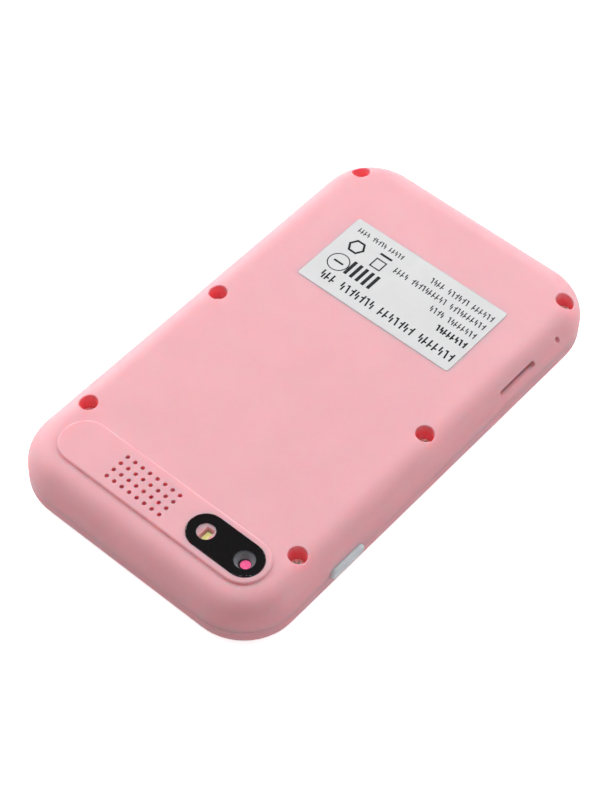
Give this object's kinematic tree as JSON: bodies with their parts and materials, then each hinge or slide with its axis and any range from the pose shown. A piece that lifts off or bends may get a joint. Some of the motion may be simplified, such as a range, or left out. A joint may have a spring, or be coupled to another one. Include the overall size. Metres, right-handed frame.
{
  "type": "toy cell phone",
  "caption": "Toy touch-screen cell phone lying face down, with a raised speaker and camera bar, recessed case screws, a side button, a card slot and a back label.",
  "frame": {"origin": "centre of the front lens's outer face, on the plane that the phone rests on", "axes": "+Z out of the phone's back, +X out of the long side with the power button and card slot, +Y towards the charging end"},
  "size_m": [0.0708, 0.1196, 0.0139],
  "materials": {
    "pink_shell": "soft-touch matte moulding",
    "clear_lens": "polished, dark border print",
    "adhesive": "black foam tape",
    "clear_film": "clear film",
    "display_glass": "dark glass",
    "white_plastic": "matte",
    "ribbon": "polyimide film",
    "board_green": "solder mask",
    "chip_black": "moulded epoxy",
    "ceramic_tan": "sintered",
    "battery_foil": "laminated foil",
    "red_wire": "extruded insulation",
    "black_wire": "extruded insulation",
    "black_plastic": "fine moulded",
    "speaker_film": "pressed film",
    "led_yellow": "phosphor in silicone",
    "coated_lens": "coated optical plastic",
    "baffle_grey": "matte moulding",
    "window_clear": "polished acrylic",
    "window_black": "screen print seen through acrylic",
    "button_pale": "translucent matte",
    "tinned_steel": "stamped and tinned",
    "steel": "zinc plated",
    "label_stock": "coated label paper, black print"
  },
  "bodies": {
    "phone": {"rear_cover": "pink_shell", "front_cover": "pink_shell", "cover_lens": "clear_lens", "lens_adhesive": "adhesive", "touch_film": "clear_film", "display_panel": "display_glass", "display_backlight": "white_plastic", "display_flex": "ribbon", "display_connector": "white_plastic", "main_circuit_board": "board_green", "processor_chip": "chip_black", "memory_chip": "chip_black", "board_capacitors": "ceramic_tan", "battery_tape": "adhesive", "battery_cell": "battery_foil", "battery_socket": "white_plastic", "battery_plug": "white_plastic", "battery_lead_red": "red_wire", "battery_lead_black": "black_wire", "speaker_gasket": "adhesive", "speaker_frame": "black_plastic", "speaker_cone": "speaker_film", "speaker_leads": "black_wire", "flash_riser": "white_plastic", "flash_base": "white_plastic", "flash_emitter": "led_yellow", "camera_sensor_board": "board_green", "camera_housing": "black_plastic", "camera_barrel": "black_plastic", "camera_lens": "coated_lens", "camera_baffle": "baffle_grey", "camera_flex": "ribbon", "camera_connector": "white_plastic", "window_plate": "window_clear", "window_print": "window_black", "window_adhesive": "adhesive", "power_switch": "black_plastic", "reset_switch": "black_plastic", "card_socket": "tinned_steel", "usb_shell": "tinned_steel", "usb_tongue": "black_plastic", "microphone": "tinned_steel", "case_screws": "steel", "board_screws": "steel", "back_label": "label_stock"},
    "button": {"power_button": "button_pale"},
    "power_plunger": {"power_plunger": "white_plastic"},
    "reset_plunger": {"reset_plunger": "white_plastic"},
    "card": {"memory_card": "chip_black"}
  },
  "joints": [
    {"name": "power_button_press", "type": "slide", "parent": "phone", "child": "button", "axis": [-1, 0, 0], "range_m": [0, 0.0004], "stiffness_N_per_m": 150},
    {"name": "power_plunger_press", "type": "slide", "parent": "phone", "child": "power_plunger", "axis": [-1, 0, 0], "range_m": [0, 0.0004]},
    {"name": "reset_press", "type": "slide", "parent": "phone", "child": "reset_plunger", "axis": [-1, 0, 0], "range_m": [0, 0.00025], "stiffness_N_per_m": 100},
    {"name": "card_slide", "type": "slide", "parent": "phone", "child": "card", "axis": [1, 0, 0], "range_m": [-0.0006, 0.014]}
  ],
  "couplings": [
    {"joint": "power_plunger_press", "follows": "power_button_press", "ratio": 1}
  ]
}
